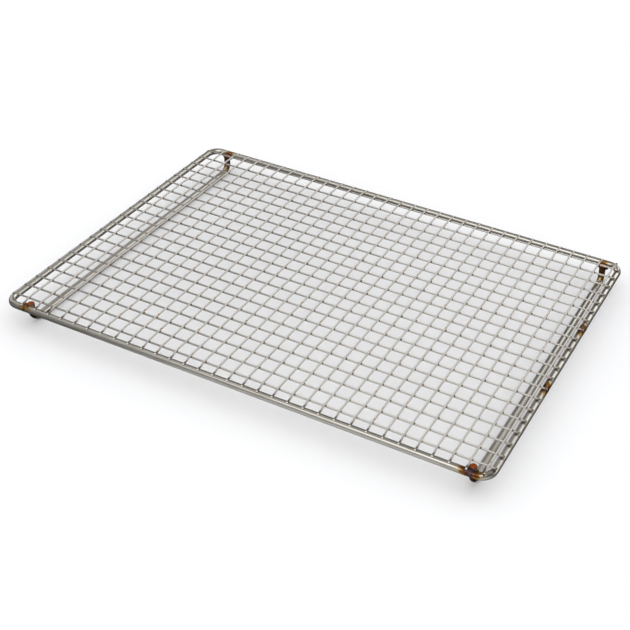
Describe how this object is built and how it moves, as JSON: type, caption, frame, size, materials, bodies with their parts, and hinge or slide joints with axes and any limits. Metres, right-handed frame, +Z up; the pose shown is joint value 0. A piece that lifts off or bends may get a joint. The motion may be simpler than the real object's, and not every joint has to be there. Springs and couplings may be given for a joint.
{
  "type": "cooling rack",
  "caption": "Rectangular welded wire cooling rack for bakery goods: thick round-rod frame, square crossed-wire mesh, low U-shaped foot bars.",
  "frame": {"origin": "on the table, under the middle of the frame", "axes": "+X along the long side, +Y along the short side from front to back, +Z up"},
  "size_m": [0.6003, 0.4, 0.033],
  "materials": {
    "rod": "bright drawn stainless rod, polished, with brown and blue heat tint round the welds",
    "wire": "drawn stainless wire, satin, with a small dark weld mark at every crossing",
    "weld": "weld metal with brown and blue heat tint"
  },
  "bodies": {
    "root": {"frame_rod": "rod", "frame_butt_weld": "weld", "left_foot_bar": "rod", "left_foot_welds": "weld", "right_foot_bar": "rod", "right_foot_welds": "weld", "long_wire_01": "wire", "long_wire_02": "wire", "long_wire_03": "wire", "long_wire_04": "wire", "long_wire_05": "wire", "long_wire_06": "wire", "long_wire_07": "wire", "long_wire_08": "wire", "long_wire_09": "wire", "long_wire_10": "wire", "long_wire_11": "wire", "long_wire_12": "wire", "long_wire_13": "wire", "long_wire_14": "wire", "long_wire_15": "wire", "long_wire_16": "wire", "long_wire_17": "wire", "long_wire_18": "wire", "long_wire_19": "wire", "long_wire_20": "wire", "long_wire_21": "wire", "cross_wire_01": "wire", "cross_wire_02": "wire", "cross_wire_03": "wire", "cross_wire_04": "wire", "cross_wire_05": "wire", "cross_wire_06": "wire", "cross_wire_07": "wire", "cross_wire_08": "wire", "cross_wire_09": "wire", "cross_wire_10": "wire", "cross_wire_11": "wire", "cross_wire_12": "wire", "cross_wire_13": "wire", "cross_wire_14": "wire", "cross_wire_15": "wire", "cross_wire_16": "wire", "cross_wire_17": "wire", "cross_wire_18": "wire", "cross_wire_19": "wire", "cross_wire_20": "wire", "cross_wire_21": "wire", "cross_wire_22": "wire", "cross_wire_23": "wire", "cross_wire_24": "wire", "cross_wire_25": "wire", "cross_wire_26": "wire", "cross_wire_27": "wire", "cross_wire_28": "wire", "cross_wire_29": "wire", "cross_wire_30": "wire", "cross_wire_31": "wire", "cross_wire_32": "wire"}
  },
  "joints": []
}
